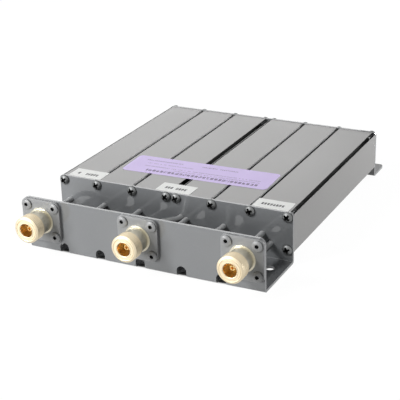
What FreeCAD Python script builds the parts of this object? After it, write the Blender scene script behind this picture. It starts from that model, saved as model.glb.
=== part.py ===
import FreeCAD, Part
import math
import os

# Six-cavity notch duplexer, in millimetres. +Z is up, +X is to the right of someone who faces the
# connectors, and +Y runs from the connectors to the tuning end. The origin lies under the middle.

# Two cavity blocks, each one extrusion with three cavities side by side
block_width = 77.0
block_height = 25.3
block_length = 144.2
block_floor = 5.9
block_skin = 1.6
side_wall = 3.0
web_wall = 2.2
cavity_round = 1.0
cavities_per_block = 3

# Screw channels that run the whole length of a block
channel_radius = 1.75
channel_wall = 1.2
channel_depth = 2.6
corner_channel_inset = 3.3
channel_slot = 2.4

# Folded sheet of the two brackets
sheet = 1.6
bend_inside = 0.4
plate_proud = 0.2
plate_corner = 2.0
trough_depth = 39.3
panel_top = 32.3
panel_corner = 3.5
foot_length = 18.4
foot_corner = 2.5

# Mounting holes in the shelf and in the foot
mount_hole_radius = 2.7
mount_hole_edge = 8.8
shelf_hole_setback = 12.4
foot_hole_setback = 9.2

# Arches punched across the panel's fold, in line with the lower cover screws
arch_width = 6.0
arch_height = 6.5
arch_reach = 6.5
end_arch_overhang = 0.2

# Pan-head cover screws
screw_shank_radius = 1.65
screw_head_radius = 3.1
screw_head_height = 2.3
screw_head_rim = 0.9
screw_length = 9.5
screw_hole_radius = 1.85
recess_length = 3.4
recess_width = 0.8
recess_depth = 1.3
recess_turn = 37.0

# Coaxial panel connectors
flange_side = 25.4
flange_thickness = 1.7
flange_corner = 3.2
flange_pitch = 18.26
connector_height = 19.3
connector_reach = 17.6
collar_radius = 8.05
collar_length = 0.4
neck_radius = 7.0
thread_radius = 7.94
thread_length = 7.3
mouth_chamfer = 1.0
mouth_radius = 4.05
mouth_depth = 9.0
dielectric_radius = 3.4
boss_radius = 5.5
boss_reach = 4.5
boss_end_wall = 2.0
boss_clearance = 0.2
fit_gap = 0.05
insulator_gap = 0.03
contact_radius = 1.5
contact_bore_radius = 0.8
contact_bore_depth = 4.0
contact_setback = 3.6
contact_stem_radius = 1.1
contact_slit = 0.3
contact_slit_depth = 3.2

# Blind rivets of the connector flanges
rivet_radius = 1.6
rivet_head_radius = 3.2
rivet_head_height = 1.5
rivet_rim = 0.35
rivet_eye_radius = 0.9
rivet_eye_depth = 3.2
rivet_tail_radius = 2.3
rivet_tail_length = 2.2

# Quarter-wave resonators and their tuning screws
resonator_radius = 4.0
resonator_bore_radius = 3.2
resonator_bore_depth = 34.0
resonator_length = 122.0
resonator_shift = 2.0
tuning_radius = 2.45
tuning_bore_radius = 2.5
tuning_reach_inside = 8.0
tuning_reach_outside = 10.5
tuning_slot_width = 0.9
tuning_slot_depth = 1.4
bushing_radius = 4.0
bushing_flange_radius = 5.5
bushing_flange = 1.2
bushing_inside = 4.5
nut_across_flats = 8.0
nut_thickness = 2.7
nut_chamfer = 0.45

# Rigid coaxial cables of the harness, and the wire loops that they feed. An entry is where a
# cable goes into the back of the antenna connector, across and up from its centre.
cable_radius = 1.8
cable_inside = 1.0
cable_in_boss = 1.2
antenna_low_entry = (-1.0, -2.7)
antenna_high_entry = (-2.2, 1.9)
port_height = 9.9
port_drop = 5.4
port_step = 5.0
left_port_offset = -7.6
right_port_offset = -4.5
antenna_port_offset = -8.0
antenna_port_height = 11.2
loop_wire_radius = 0.6
loop_depth = 20.0
bend_share = 0.45

# How far forward of the end plate each cable runs straight, turns or reaches
low_cable_straight = 20.5
low_cable_turn = 28.4
low_link_reach = 15.4
low_upper_link_reach = 32.6
antenna_low_straight = 8.0
antenna_low_turn = 23.0
antenna_high_straight = 3.6
antenna_high_turn = 25.0
high_upper_link_reach = 32.0
high_upper_link_width = 12.4
high_upper_link_lean = 5.6
high_link_reach = 29.0
high_cable_straight = 12.0
high_cable_turn = 24.0

# Stickers
sticker = 0.15
small_label_width = 22.4
small_label_depth = 12.0
small_label_gap = 0.2
small_label_corner = 0.4
low_label_shift = 2.0
antenna_label_shift = -0.2
high_label_shift = -0.9
rating_width = 96.0
rating_depth = 26.3
rating_corner = 2.6
rating_setback = 37.6
rating_shift = 0.8
rating_turn = 1.8

# Places that follow from the sizes
full_width = 2 * block_width
cover_length = block_length + 2 * sheet
full_length = connector_reach + trough_depth + cover_length + foot_length
panel_front = connector_reach - full_length / 2
panel_back = panel_front + sheet
plate_front = panel_front + trough_depth
block_front = plate_front + sheet
block_back = block_front + block_length
plate_back = block_back + sheet
block_top = block_floor + block_height
block_middle = block_floor + block_height / 2
plate_top = block_top + plate_proud
bend_outside = bend_inside + sheet
cavity_width = (block_width - 2 * side_wall - 2 * web_wall) / cavities_per_block
cavity_pitch = cavity_width + web_wall
web_channel_x = cavity_pitch / 2
corner_channel_x = block_width / 2 - corner_channel_inset
block_centres = (-block_width / 2, block_width / 2)
connector_centres = (-(full_width - flange_side) / 2, 0.0, (full_width - flange_side) / 2)
mount_hole_x = full_width / 2 - mount_hole_edge
upper_port_z = block_floor + port_height
lower_port_z = upper_port_z - port_drop
antenna_port_z = block_floor + antenna_port_height
boss_end = panel_back + boss_reach
past = 1.0


def vec(x, y, z):
    return FreeCAD.Vector(x, y, z)


def corner_arc(before, corner, after, radius):
    """Start, middle and end of the arc that rounds a corner between two straight runs."""
    back = (before - corner).normalize()
    ahead = (after - corner).normalize()
    half = back.getAngle(ahead) / 2
    tangent = radius / math.tan(half)
    inward = (back + ahead).normalize()
    middle = corner + inward * (radius / math.sin(half) - radius)
    return corner + back * tangent, middle, corner + ahead * tangent


def rounded_face(corners, place):
    """Flat face from (u, v, radius) corners; place turns u, v into a point."""
    points = [place(u, v) for u, v, radius in corners]
    count = len(points)
    ends = []
    for index, (u, v, radius) in enumerate(corners):
        corner = points[index]
        if radius > 0:
            ends.append(corner_arc(points[index - 1], corner, points[(index + 1) % count], radius))
        else:
            ends.append((corner, None, corner))
    edges = []
    for index in range(count):
        start, middle, end = ends[index]
        if middle is not None:
            edges.append(Part.Arc(start, middle, end).toShape())
        following = ends[(index + 1) % count][0]
        if end.distanceToPoint(following) > 1e-6:
            edges.append(Part.LineSegment(end, following).toShape())
    return Part.Face(Part.Wire(edges))


def rectangle(u0, u1, v0, v1, radius=0.0):
    return [(u0, v0, radius), (u1, v0, radius), (u1, v1, radius), (u0, v1, radius)]


def on_xz(y):
    return lambda u, v: vec(u, y, v)


def on_xy(z):
    return lambda u, v: vec(u, v, z)


def on_yz(x):
    return lambda u, v: vec(x, u, v)


def block_of(x0, x1, y0, y1, z0, z1):
    return Part.makeBox(x1 - x0, y1 - y0, z1 - z0, vec(x0, y0, z0))


def rod_along_y(radius, x, z, y0, y1):
    return Part.makeCylinder(radius, y1 - y0, vec(x, y0, z), vec(0, 1, 0))


def turned(profile, x, z):
    """Solid turned about a line along Y from (radius, y) points."""
    points = [vec(x + radius, y, z) for radius, y in profile]
    wire = Part.makePolygon(points + [points[0]])
    return Part.Face(wire).revolve(vec(x, 0, z), vec(0, 1, 0), 360)


def dome(radius, rim, height, x, z, y, outward):
    """Domed head whose flat side lies at y; outward is -1 towards the front, 1 towards the back."""
    rise = height - rim
    sphere_radius = (radius ** 2 + rise ** 2) / (2 * rise)
    sphere = Part.makeSphere(sphere_radius, vec(x, y + outward * (height - sphere_radius), z), vec(0, 1, 0))
    y0, y1 = sorted((y, y + outward * (height + past)))
    return rod_along_y(radius, x, z, y0, y1).common(sphere)


def corner_cut(x_side, top, radius, y0, y1):
    """What has to go to round a top corner of an upright plate."""
    edge = x_side * full_width / 2
    middle = edge - x_side * radius
    x0, x1 = sorted((middle, edge + x_side * past))
    square = block_of(x0, x1, y0, y1, top - radius, top + past)
    return square.cut(rod_along_y(radius, middle, top - radius, y0, y1))


def run_between(start, end, radius):
    return Part.makeCylinder(radius, start.distanceToPoint(end), start, end - start)


def bend_through(first, middle, last, radius):
    """Bend as a disc turned about the centre of its arc, with its radius and its length."""
    arc = Part.Arc(first, middle, last)
    circle = arc.toShape().Curve
    normal = (first - circle.Center).cross(middle - circle.Center).normalize()
    turn = math.degrees(arc.toShape().Length / circle.Radius)
    tangent = normal.cross(first - circle.Center).normalize()
    disc = Part.Face(Part.Wire(Part.makeCircle(radius, first, tangent)))
    return disc.revolve(circle.Center, normal, turn), circle.Radius, arc.toShape().Length


def round_wire(points, radius, name):
    """Straight runs joined by tangent arcs, each arc as large as its shorter run allows."""
    pieces = []
    bends = []
    length = 0.0
    start = points[0]
    for index in range(1, len(points) - 1):
        before, corner, after = points[index - 1], points[index], points[index + 1]
        run = min(before.distanceToPoint(corner), corner.distanceToPoint(after))
        half = (before - corner).getAngle(after - corner) / 2
        first, middle, last = corner_arc(before, corner, after, bend_share * run * math.tan(half))
        pieces.append(run_between(start, first, radius))
        bend, bend_radius, bend_length = bend_through(first, middle, last, radius)
        pieces.append(bend)
        bends.append(bend_radius)
        length += start.distanceToPoint(first) + bend_length
        start = last
    pieces.append(run_between(start, points[-1], radius))
    length += start.distanceToPoint(points[-1])
    tube = pieces[0].fuse(pieces[1:]).removeSplitter()
    share = tube.Volume / (math.pi * radius ** 2 * length)
    print(name, "length %.1f, tightest bend %.1f, volume share %.4f" % (length, min(bends), share))
    return tube


def channel_places(x_middle):
    """Each screw channel of a block: its centre and the way that its slot opens."""
    places = []
    for z, up in ((block_floor + channel_depth, -1), (block_top - channel_depth, 1)):
        for side in (-1, 1):
            slant = math.sqrt(0.5)
            places.append((x_middle + side * corner_channel_x, z, side * slant, up * slant))
            places.append((x_middle + side * web_channel_x, z, 0.0, up))
    return places


def slot_prism(x, z, along_x, along_z):
    """Opening from a channel out through the surface of the block."""
    reach = channel_slot + corner_channel_inset + channel_depth
    half = channel_slot / 2
    side_x, side_z = -along_z * half, along_x * half
    corners = []
    for step, sign in ((0, 1), (reach, 1), (reach, -1), (0, -1)):
        corners.append((x + along_x * step + sign * side_x, z + along_z * step + sign * side_z, 0.0))
    return rounded_face(corners, on_xz(block_front)).extrude(vec(0, block_length, 0))


def cavity_centres(x_middle):
    return [x_middle + step * cavity_pitch for step in (-1, 0, 1)]


def cavity_block(x_middle):
    half = block_width / 2
    outer = block_of(x_middle - half, x_middle + half, block_front, block_back, block_floor, block_top)
    channels = channel_places(x_middle)
    boss = channel_radius + channel_wall
    bosses = [rod_along_y(boss, x, z, block_front, block_back) for x, z, along_x, along_z in channels]
    cuts = []
    z0, z1 = block_floor + block_skin, block_top - block_skin
    for x in cavity_centres(x_middle):
        x0, x1 = x - cavity_width / 2, x + cavity_width / 2
        inside = rectangle(x0, x1, z0, z1, cavity_round)
        hollow = rounded_face(inside, on_xz(block_front)).extrude(vec(0, block_length, 0))
        cuts.append(hollow.cut(bosses))
    for x, z, along_x, along_z in channels:
        cuts.append(rod_along_y(channel_radius, x, z, block_front, block_back))
        cuts.append(slot_prism(x, z, along_x, along_z))
    return outer.cut(cuts)


def screw_places():
    places = []
    for x_middle in block_centres:
        places += [(x, z) for x, z, along_x, along_z in channel_places(x_middle)]
    return places


def arch_centres():
    """The panel's arches, in line with the lower screws; the pair at the middle shares one."""
    reach = block_width / 2 + web_channel_x
    near = block_width / 2 - web_channel_x
    return [-full_width / 2 - end_arch_overhang, -reach, -near, 0.0, near, reach]


def arched_face(x, low, high, place):
    """Upright opening with straight sides and a half-round end."""
    half = arch_width / 2
    shoulder = high - half
    corners = [place(x - half, shoulder), place(x - half, low)]
    corners += [place(x + half, low), place(x + half, shoulder)]
    edges = [Part.LineSegment(corners[i], corners[i + 1]).toShape() for i in range(3)]
    edges.append(Part.Arc(corners[3], place(x, high), corners[0]).toShape())
    return Part.Face(Part.Wire(edges))


def arch_cut(x):
    """One arch: up the panel and back into the shelf."""
    through = sheet + bend_inside + past
    in_panel = arched_face(x, -past, arch_height, on_xz(panel_front - past))
    in_shelf = arched_face(x, panel_front - past, panel_front + arch_reach, on_xy(-past))
    return in_panel.extrude(vec(0, through, 0)).fuse(in_shelf.extrude(vec(0, 0, through)))


def folded(profile):
    """Sheet folded across the full width, from the (y, z, radius) corners of its end view."""
    return rounded_face(profile, on_yz(-full_width / 2)).extrude(vec(full_width, 0, 0))


def upper_ports():
    left = [x + left_port_offset for x in cavity_centres(block_centres[0])]
    right = [x + right_port_offset for x in cavity_centres(block_centres[1])]
    return [(x, upper_port_z) for x in left + right]


def second_ports():
    """The other cable of each cavity; the fourth cavity's comes from the antenna connector."""
    ports = [(x + port_step, lower_port_z) for x, z in upper_ports()]
    ports[3] = (cavity_centres(block_centres[1])[0] + antenna_port_offset, antenna_port_z)
    return ports


def front_bracket():
    profile = [(panel_front, panel_top, 0.0), (panel_front, 0.0, bend_outside)]
    profile += [(block_front, 0.0, bend_outside), (block_front, plate_top, 0.0)]
    profile += [(plate_front, plate_top, 0.0), (plate_front, sheet, bend_inside)]
    profile += [(panel_back, sheet, bend_inside), (panel_back, panel_top, 0.0)]
    body = folded(profile)
    cuts = []
    for side in (-1, 1):
        cuts.append(corner_cut(side, panel_top, panel_corner, panel_front - past, panel_back + past))
        cuts.append(corner_cut(side, plate_top, plate_corner, plate_front - past, block_front + past))
        hole = vec(side * mount_hole_x, plate_front - shelf_hole_setback, -past)
        cuts.append(Part.makeCylinder(mount_hole_radius, sheet + 2 * past, hole))
    for x in arch_centres():
        cuts.append(arch_cut(x))
    y0, y1 = plate_front - past, block_front + past
    for x, z in screw_places():
        cuts.append(rod_along_y(screw_hole_radius, x, z, y0, y1))
    for x, z in upper_ports() + second_ports():
        cuts.append(rod_along_y(cable_radius + fit_gap, x, z, y0, y1))
    y0, y1 = panel_front - past, panel_back + past
    for x in connector_centres:
        cuts.append(rod_along_y(boss_radius + boss_clearance, x, connector_height, y0, y1))
        for rivet_x, rivet_z in rivet_places(x):
            cuts.append(rod_along_y(rivet_radius + fit_gap, rivet_x, rivet_z, y0, y1))
    return body.cut(cuts)


def rear_bracket():
    foot_end = plate_back + foot_length
    profile = [(block_back, plate_top, 0.0), (block_back, 0.0, bend_outside), (foot_end, 0.0, 0.0)]
    profile += [(foot_end, sheet, 0.0), (plate_back, sheet, bend_inside), (plate_back, plate_top, 0.0)]
    body = folded(profile)
    cuts = []
    for side in (-1, 1):
        cuts.append(corner_cut(side, plate_top, plate_corner, block_back - past, plate_back + past))
        hole = vec(side * mount_hole_x, plate_back + foot_hole_setback, -past)
        cuts.append(Part.makeCylinder(mount_hole_radius, sheet + 2 * past, hole))
        edge = side * full_width / 2
        middle = edge - side * foot_corner
        x0, x1 = sorted((middle, edge + side * past))
        square = block_of(x0, x1, foot_end - foot_corner, foot_end + past, -past, sheet + past)
        disc = Part.makeCylinder(foot_corner, sheet + 2 * past, vec(middle, foot_end - foot_corner, -past))
        cuts.append(square.cut(disc))
    for x, z in screw_places():
        cuts.append(rod_along_y(screw_hole_radius, x, z, block_back - past, plate_back + past))
    hole_radius = bushing_radius + fit_gap
    for x in resonator_centres():
        cuts.append(rod_along_y(hole_radius, x, block_middle, block_back - past, plate_back + past))
    return body.cut(cuts)


def cover_screw(x, z, y_seat, outward, turn):
    head = dome(screw_head_radius, screw_head_rim, screw_head_height, x, z, y_seat, outward)
    y0, y1 = sorted((y_seat, y_seat - outward * screw_length))
    screw = head.fuse(rod_along_y(screw_shank_radius, x, z, y0, y1)).removeSplitter()
    y_top = y_seat + outward * screw_head_height
    y0, y1 = sorted((y_top + outward * past, y_top - outward * recess_depth))
    half, wing = recess_length / 2, recess_width / 2
    arm = block_of(x - half, x + half, y0, y1, z - wing, z + wing)
    cross = arm.fuse(block_of(x - wing, x + wing, y0, y1, z - half, z + half))
    cross.rotate(vec(x, 0, z), vec(0, 1, 0), turn)
    return screw.cut(cross)


def cover_screws(y_seat, outward):
    screws = []
    for index, (x, z) in enumerate(screw_places()):
        screws.append(cover_screw(x, z, y_seat, outward, recess_turn * index))
    return Part.makeCompound(screws)


def connector_body(x, cable_holes):
    half = flange_side / 2
    z = connector_height
    outline = rectangle(x - half, x + half, z - half, z + half, flange_corner)
    flange_face = rounded_face(outline, on_xz(panel_front - flange_thickness))
    flange = flange_face.extrude(vec(0, flange_thickness, 0))
    face = panel_front - connector_reach
    collar_front = panel_front - flange_thickness - collar_length
    thread_back = face + thread_length
    profile = [(0, face), (thread_radius - mouth_chamfer, face), (thread_radius, face + mouth_chamfer)]
    profile += [(thread_radius, thread_back), (neck_radius, thread_back + thread_radius - neck_radius)]
    inside = panel_front - past
    profile += [(neck_radius, collar_front), (collar_radius, collar_front), (collar_radius, inside)]
    profile += [(boss_radius, inside), (boss_radius, boss_end), (0, boss_end)]
    body = flange.fuse(turned(profile, x, z)).removeSplitter()
    cuts = [rod_along_y(mouth_radius, x, z, face - past, face + mouth_depth)]
    cuts.append(rod_along_y(dielectric_radius, x, z, face, boss_end - boss_end_wall))
    cable_hole = cable_radius + fit_gap
    for hole_x, hole_z in cable_holes:
        cuts.append(rod_along_y(cable_hole, hole_x, hole_z, boss_end - cable_in_boss, boss_end + past))
    for rivet_x, rivet_z in rivet_places(x):
        cuts.append(rod_along_y(rivet_radius + fit_gap, rivet_x, rivet_z, face, panel_front + past))
    return body.cut(cuts)


def connector_insulator(x):
    front = panel_front - connector_reach + mouth_depth
    back = boss_end - boss_end_wall - insulator_gap
    body = rod_along_y(dielectric_radius - insulator_gap, x, connector_height, front, back)
    stem_radius = contact_stem_radius + insulator_gap
    return body.cut(rod_along_y(stem_radius, x, connector_height, front - past, back + past))


def connector_contact(x):
    tip = panel_front - connector_reach + contact_setback
    seat = panel_front - connector_reach + mouth_depth
    back = boss_end - boss_end_wall - 2 * insulator_gap
    pin = rod_along_y(contact_radius, x, connector_height, tip, seat)
    pin = pin.fuse(rod_along_y(contact_stem_radius, x, connector_height, seat, back)).removeSplitter()
    bore_end = tip + contact_bore_depth
    pin = pin.cut(rod_along_y(contact_bore_radius, x, connector_height, tip - past, bore_end))
    wide, thin = contact_radius + past, contact_slit / 2
    for x_half, z_half in ((wide, thin), (thin, wide)):
        y1 = tip + contact_slit_depth
        z0, z1 = connector_height - z_half, connector_height + z_half
        pin = pin.cut(block_of(x - x_half, x + x_half, tip - past, y1, z0, z1))
    return pin


def rivet_places(x):
    half = flange_pitch / 2
    return [(x + side * half, connector_height + up * half) for side in (-1, 1) for up in (-1, 1)]


def connector_rivets(x):
    seat = panel_front - flange_thickness
    front = seat - rivet_head_height
    tail_rim = rivet_tail_length / 2
    rivets = []
    for rivet_x, rivet_z in rivet_places(x):
        head = dome(rivet_head_radius, rivet_rim, rivet_head_height, rivet_x, rivet_z, seat, -1)
        shank = rod_along_y(rivet_radius, rivet_x, rivet_z, seat, panel_back)
        tail = dome(rivet_tail_radius, tail_rim, rivet_tail_length, rivet_x, rivet_z, panel_back, 1)
        eye = rod_along_y(rivet_eye_radius, rivet_x, rivet_z, front - past, front + rivet_eye_depth)
        rivets.append(head.fuse([shank, tail]).removeSplitter().cut(eye))
    return Part.makeCompound(rivets)


def resonator_centres():
    centres = cavity_centres(block_centres[0]) + cavity_centres(block_centres[1])
    return [x + resonator_shift for x in centres]


def resonator(x):
    open_end = block_front + resonator_length
    bore_end = open_end - resonator_bore_depth
    rod = rod_along_y(resonator_radius, x, block_middle, block_front, open_end)
    return rod.cut(rod_along_y(resonator_bore_radius, x, block_middle, bore_end, open_end + past))


def tuning_screw(x):
    inner_end = block_front + resonator_length - tuning_reach_inside
    outer_end = plate_back + tuning_reach_outside
    rod = rod_along_y(tuning_radius, x, block_middle, inner_end, outer_end)
    half = tuning_slot_width / 2
    wide = tuning_radius + past
    y0 = outer_end - tuning_slot_depth
    slot = block_of(x - wide, x + wide, y0, outer_end + past, block_middle - half, block_middle + half)
    return rod.cut(slot)


def tuning_bushing(x):
    inner = block_back - bushing_inside
    flange_front = block_back - bushing_flange
    profile = [(tuning_bore_radius, inner), (bushing_radius, inner), (bushing_radius, flange_front)]
    profile += [(bushing_flange_radius, flange_front), (bushing_flange_radius, block_back)]
    profile += [(bushing_radius, block_back), (bushing_radius, plate_back), (tuning_bore_radius, plate_back)]
    return turned(profile, x, block_middle)


def lock_nut(x):
    flat_radius = nut_across_flats / 2
    corner_radius = flat_radius / math.cos(math.pi / 6)
    points = []
    for index in range(7):
        angle = math.pi / 3 * index
        across, up = corner_radius * math.cos(angle), corner_radius * math.sin(angle)
        points.append(vec(x + across, plate_back, block_middle + up))
    hexagon = Part.Face(Part.makePolygon(points)).extrude(vec(0, nut_thickness, 0))
    outer = plate_back + nut_thickness
    wide = corner_radius + nut_chamfer
    profile = [(tuning_bore_radius, plate_back), (wide, plate_back), (wide, outer - 2 * nut_chamfer)]
    profile += [(flat_radius - nut_chamfer / 2, outer), (tuning_bore_radius, outer)]
    return hexagon.common(turned(profile, x, block_middle))


def coupling_loop(number, upper, second):
    inner = block_front + cable_inside
    deep = block_front + loop_depth
    points = [vec(upper[0], inner, upper[1]), vec(upper[0], deep, upper[1])]
    points += [vec(second[0], deep, second[1]), vec(second[0], inner, second[1])]
    return round_wire(points, loop_wire_radius, "coupling_loop_%d" % number)


def cable_entries():
    """Where the cables go into the back of each connector; the antenna's takes two."""
    low_x, antenna_x, high_x = connector_centres
    z = connector_height
    to_low = (antenna_x + antenna_low_entry[0], z + antenna_low_entry[1])
    to_high = (antenna_x + antenna_high_entry[0], z + antenna_high_entry[1])
    return {"low": [(low_x, z)], "antenna": [to_low, to_high], "high": [(high_x, z)]}


def harness():
    """Every cable's route as hand-chosen points; the middle value runs forward from the end plate."""
    upper = upper_ports()
    second = second_ports()
    start = -(sheet + cable_inside)
    boss = trough_depth - sheet - boss_reach + cable_in_boss
    low_x, low_z = cable_entries()["low"][0]
    high_x, high_z = cable_entries()["high"][0]
    (to_low_x, to_low_z), (to_high_x, to_high_z) = cable_entries()["antenna"]
    routes = {}
    routes["low_input_cable"] = [
        (second[0][0], start, lower_port_z), (second[0][0], low_cable_straight, lower_port_z),
        (low_x, low_cable_turn, low_z), (low_x, boss, low_z)]
    routes["link_cable_1_2"] = [
        (upper[0][0], start, upper_port_z), (upper[0][0], low_link_reach, upper_port_z),
        (second[1][0], low_link_reach, lower_port_z), (second[1][0], start, lower_port_z)]
    routes["link_cable_2_3"] = [
        (upper[1][0], start, upper_port_z), (upper[1][0], low_upper_link_reach, upper_port_z),
        (upper[2][0], low_upper_link_reach, upper_port_z), (upper[2][0], start, upper_port_z)]
    routes["antenna_low_cable"] = [
        (second[2][0], start, lower_port_z), (second[2][0], antenna_low_straight, lower_port_z),
        (to_low_x, antenna_low_turn, to_low_z), (to_low_x, boss, to_low_z)]
    routes["antenna_high_cable"] = [
        (second[3][0], start, antenna_port_z), (second[3][0], antenna_high_straight, antenna_port_z),
        (to_high_x, antenna_high_turn, to_high_z), (to_high_x, boss, to_high_z)]
    far_x = upper[3][0] + high_upper_link_width
    routes["link_cable_4_5"] = [
        (upper[3][0], start, upper_port_z), (upper[3][0], high_upper_link_reach, upper_port_z),
        (far_x, high_upper_link_reach, upper_port_z), (upper[4][0], high_upper_link_lean, upper_port_z),
        (upper[4][0], start, upper_port_z)]
    routes["link_cable_5_6"] = [
        (second[4][0], start, lower_port_z), (second[4][0], high_link_reach, lower_port_z),
        (second[5][0], high_link_reach, lower_port_z), (second[5][0], start, lower_port_z)]
    routes["high_input_cable"] = [
        (upper[5][0], start, upper_port_z), (upper[5][0], high_cable_straight, upper_port_z),
        (high_x, high_cable_turn, high_z), (high_x, boss, high_z)]
    cables = {}
    for name, route in routes.items():
        points = [vec(x, plate_front - forward, z) for x, forward, z in route]
        cables[name] = round_wire(points, cable_radius, name)
    return cables


def sticker_on_top(x, y, width, depth, corner, turn=0.0):
    outline = rectangle(x - width / 2, x + width / 2, y - depth / 2, y + depth / 2, corner)
    body = rounded_face(outline, on_xy(block_top)).extrude(vec(0, 0, sticker))
    body.rotate(vec(x, y, block_top), vec(0, 0, 1), turn)
    return body


def labels():
    y = block_front + small_label_gap + small_label_depth / 2
    places = {}
    places["low_label"] = cavity_centres(block_centres[0])[0] + low_label_shift
    places["antenna_label"] = antenna_label_shift
    places["high_label"] = cavity_centres(block_centres[1])[2] + high_label_shift
    made = {}
    for name, x in places.items():
        made[name] = sticker_on_top(x, y, small_label_width, small_label_depth, small_label_corner)
    size = (rating_width, rating_depth, rating_corner)
    made["rating_label"] = sticker_on_top(rating_shift, plate_front + rating_setback, *size, rating_turn)
    return made


def build():
    nodes = {}
    nodes["left_cavity_block"] = cavity_block(block_centres[0])
    nodes["right_cavity_block"] = cavity_block(block_centres[1])
    nodes["front_bracket"] = front_bracket()
    nodes["rear_bracket"] = rear_bracket()
    nodes["front_cover_screws"] = cover_screws(plate_front, -1)
    nodes["rear_cover_screws"] = cover_screws(plate_back, 1)
    for x, (name, entries) in zip(connector_centres, cable_entries().items()):
        nodes[name + "_connector_body"] = connector_body(x, entries)
        nodes[name + "_connector_insulator"] = connector_insulator(x)
        nodes[name + "_connector_contact"] = connector_contact(x)
        nodes[name + "_connector_rivets"] = connector_rivets(x)
    for index, x in enumerate(resonator_centres()):
        nodes["resonator_%d" % (index + 1)] = resonator(x)
        nodes["tuning_screw_%d" % (index + 1)] = tuning_screw(x)
    nodes["tuning_bushings"] = Part.makeCompound([tuning_bushing(x) for x in resonator_centres()])
    nodes["lock_nuts"] = Part.makeCompound([lock_nut(x) for x in resonator_centres()])
    for index, (upper, second) in enumerate(zip(upper_ports(), second_ports())):
        nodes["coupling_loop_%d" % (index + 1)] = coupling_loop(index + 1, upper, second)
    nodes.update(harness())
    nodes.update(labels())
    return nodes


os.makedirs("parts", exist_ok=True)
for name, shape in build().items():
    shape.exportStep("parts/%s.step" % name)
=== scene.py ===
import bmesh
import bpy
import math
from mathutils import Matrix, Vector


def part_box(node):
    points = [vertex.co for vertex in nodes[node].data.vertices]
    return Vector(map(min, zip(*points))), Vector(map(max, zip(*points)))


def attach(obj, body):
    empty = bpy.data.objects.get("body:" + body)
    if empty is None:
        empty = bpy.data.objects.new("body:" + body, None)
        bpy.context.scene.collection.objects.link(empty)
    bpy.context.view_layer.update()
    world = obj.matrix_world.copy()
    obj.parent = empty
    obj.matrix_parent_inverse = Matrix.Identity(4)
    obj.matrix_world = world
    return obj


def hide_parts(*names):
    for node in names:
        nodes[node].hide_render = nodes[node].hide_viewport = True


# Cavity duplexer: painted cavity blocks, folded brackets, three threaded jacks and a rigid harness.
# Everything is in metres and in the CAD frame. Settings that end in Mm are millimetres, angles are degrees.

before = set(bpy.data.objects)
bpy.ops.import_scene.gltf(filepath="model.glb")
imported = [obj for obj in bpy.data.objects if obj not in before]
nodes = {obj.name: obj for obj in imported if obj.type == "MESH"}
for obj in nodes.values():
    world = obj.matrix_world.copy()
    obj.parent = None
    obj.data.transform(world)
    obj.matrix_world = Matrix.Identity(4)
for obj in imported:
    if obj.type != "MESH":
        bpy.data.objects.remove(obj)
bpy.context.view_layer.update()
scene = bpy.context.scene
mm = 0.001
ports = ("low", "antenna", "high")
cavities = range(1, 7)
print("frame loaded:", len(nodes), "nodes")


def metres(settings):  # the Mm settings in metres, under their names without Mm
    return {name.removesuffix("Mm"): value * mm if name.endswith("Mm") else value
            for name, value in settings.items()}


# Camera

cameraSettings = {
    "place": (0.2892, -0.58255, 0.2798),
    "azimuth": 27.09,
    "elevation": 22.83,
    "roll": -1.64,
    "lens": 100.04,
    "sensor": 36.0,
}


def makeCamera():
    azimuth = math.radians(cameraSettings["azimuth"])
    elevation = math.radians(cameraSettings["elevation"])
    roll = math.radians(cameraSettings["roll"])
    level = math.cos(elevation)
    ahead = Vector((-math.sin(azimuth) * level, math.cos(azimuth) * level, -math.sin(elevation)))
    right = ahead.cross(Vector((0, 0, 1))).normalized()
    up = right.cross(ahead)
    xAxis = right * math.cos(roll) + up * math.sin(roll)
    yAxis = up * math.cos(roll) - right * math.sin(roll)
    lens = bpy.data.cameras.new("photoCamera")
    lens.lens = cameraSettings["lens"]
    lens.sensor_width = cameraSettings["sensor"]
    camera = bpy.data.objects.new("photoCamera", lens)
    camera.matrix_world = Matrix((xAxis, yAxis, -ahead)).transposed().to_4x4()
    camera.location = cameraSettings["place"]
    scene.collection.objects.link(camera)
    scene.camera = camera


makeCamera()
print("camera set")


# Node helpers

def setSocket(tree, socket, value):  # links another node's output, or sets a plain value
    if isinstance(value, bpy.types.NodeSocket):
        tree.links.new(value, socket)
    else:
        socket.default_value = value


def addNode(tree, kind, inputs=None, **options):
    node = tree.nodes.new("ShaderNode" + kind)
    for name, value in options.items():
        setattr(node, name, value)
    for name, value in (inputs or {}).items():
        setSocket(tree, node.inputs[name], value)
    return node


def maths(tree, operation, first, second=0.0, third=0.0):
    return addNode(tree, "Math", {0: first, 1: second, 2: third}, operation=operation).outputs[0]


def spread(tree, value, low, high, newLow=0.0, newHigh=1.0):  # maps one range onto another, held at the ends
    inputs = {"Value": value, "From Min": low, "From Max": high, "To Min": newLow, "To Max": newHigh}
    return addNode(tree, "MapRange", inputs).outputs["Result"]


def mixColours(tree, factor, first, second):
    return addNode(tree, "Mix", {0: factor, 6: first, 7: second}, data_type="RGBA").outputs[2]


def addBump(tree, strength, distance, height):
    return addNode(tree, "Bump", {"Strength": strength, "Distance": distance, "Height": height}).outputs[0]


def newGroup(name, inputs, outputs):
    group = bpy.data.node_groups.new(name, "ShaderNodeTree")
    for label, value in inputs.items():
        kind = "NodeSocketVector" if isinstance(value, tuple) else "NodeSocketFloat"
        group.interface.new_socket(label, in_out="INPUT", socket_type=kind).default_value = value
    for label in outputs:
        group.interface.new_socket(label, in_out="OUTPUT", socket_type="NodeSocketFloat")
    return group, group.nodes.new("NodeGroupInput").outputs, group.nodes.new("NodeGroupOutput").inputs


def useGroup(tree, group, **inputs):
    node = tree.nodes.new("ShaderNodeGroup")
    node.node_tree = group
    for name, value in inputs.items():
        setSocket(tree, node.inputs[name], value)
    return node.outputs


def objectPlace(tree):
    return addNode(tree, "TexCoord").outputs["Object"]


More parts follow.
